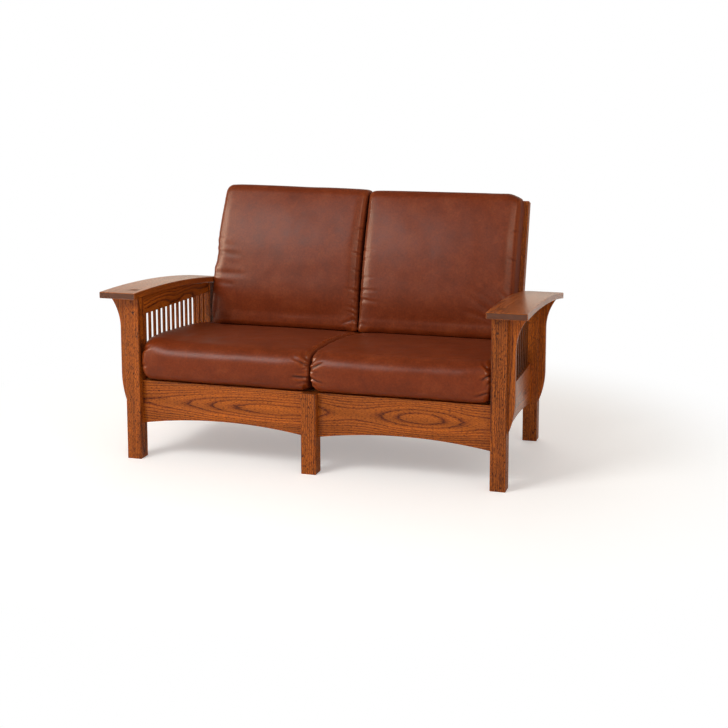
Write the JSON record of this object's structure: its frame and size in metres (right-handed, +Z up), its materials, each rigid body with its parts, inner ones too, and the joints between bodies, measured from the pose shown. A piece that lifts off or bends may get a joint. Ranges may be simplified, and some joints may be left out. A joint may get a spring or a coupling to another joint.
{
  "type": "mission settle",
  "caption": "Wide mission settle in oak with bowed arms, long corbels, slatted sides, arched aprons, a leaning slatted back and loose leather cushions.",
  "frame": {"origin": "middle of the settle's footprint, on the floor under its feet", "axes": "+X across the settle to the sitter's left, which is the right in the picture, +Y from the front to the back, +Z up"},
  "size_m": [1.618, 1.0116, 0.9766],
  "materials": {
    "oak": "medium brown stained oak, satin lacquer",
    "deck_wood": "plain sanded hardwood, unfinished",
    "steel": "zinc plated",
    "leather": "semi-gloss red-brown leather"
  },
  "bodies": {
    "frame": {"arm_left": "oak", "arm_right": "oak", "back_bolts": "steel", "back_bottom_rail": "oak", "back_centre_stile": "oak", "back_slats_left": "oak", "back_slats_right": "oak", "back_stile_left": "oak", "back_stile_right": "oak", "back_top_rail": "oak", "back_washers": "steel", "centre_bearer": "deck_wood", "centre_front_leg": "oak", "centre_rear_leg": "oak", "front_apron_left": "oak", "front_apron_right": "oak", "front_corbel_left": "oak", "front_corbel_right": "oak", "front_corner_block_left": "deck_wood", "front_corner_block_right": "deck_wood", "front_leg_left": "oak", "front_leg_right": "oak", "rail_plugs": "oak", "rail_screws": "steel", "rear_apron_left": "oak", "rear_apron_right": "oak", "rear_corbel_left": "oak", "rear_corbel_right": "oak", "rear_corner_block_left": "deck_wood", "rear_corner_block_right": "deck_wood", "rear_leg_left": "oak", "rear_leg_right": "oak", "seat_slat_left_1": "deck_wood", "seat_slat_left_2": "deck_wood", "seat_slat_left_3": "deck_wood", "seat_slat_left_4": "deck_wood", "seat_slat_left_5": "deck_wood", "seat_slat_left_6": "deck_wood", "seat_slat_left_7": "deck_wood", "seat_slat_right_1": "deck_wood", "seat_slat_right_2": "deck_wood", "seat_slat_right_3": "deck_wood", "seat_slat_right_4": "deck_wood", "seat_slat_right_5": "deck_wood", "seat_slat_right_6": "deck_wood", "seat_slat_right_7": "deck_wood", "side_bearer_left": "deck_wood", "side_bearer_right": "deck_wood", "side_bottom_rail_left": "oak", "side_bottom_rail_right": "oak", "side_slats_left": "oak", "side_slats_right": "oak", "side_top_rail_left": "oak", "side_top_rail_right": "oak"},
    "seat_left": {"seat_cushion_left": "leather"},
    "seat_right": {"seat_cushion_right": "leather"},
    "back_left": {"back_cushion_left": "leather"},
    "back_right": {"back_cushion_right": "leather"}
  },
  "joints": [
    {"name": "seat_left_pull", "type": "slide", "parent": "frame", "child": "seat_left", "axis": [0, -0.9969, 0.0785], "range_m": [0, 0.45]},
    {"name": "seat_right_pull", "type": "slide", "parent": "frame", "child": "seat_right", "axis": [0, -0.9969, 0.0785], "range_m": [0, 0.45]},
    {"name": "back_left_lift", "type": "slide", "parent": "frame", "child": "back_left", "axis": [0, 0.2924, 0.9563], "range_m": [0, 0.35]},
    {"name": "back_right_lift", "type": "slide", "parent": "frame", "child": "back_right", "axis": [0, 0.2924, 0.9563], "range_m": [0, 0.35]}
  ]
}
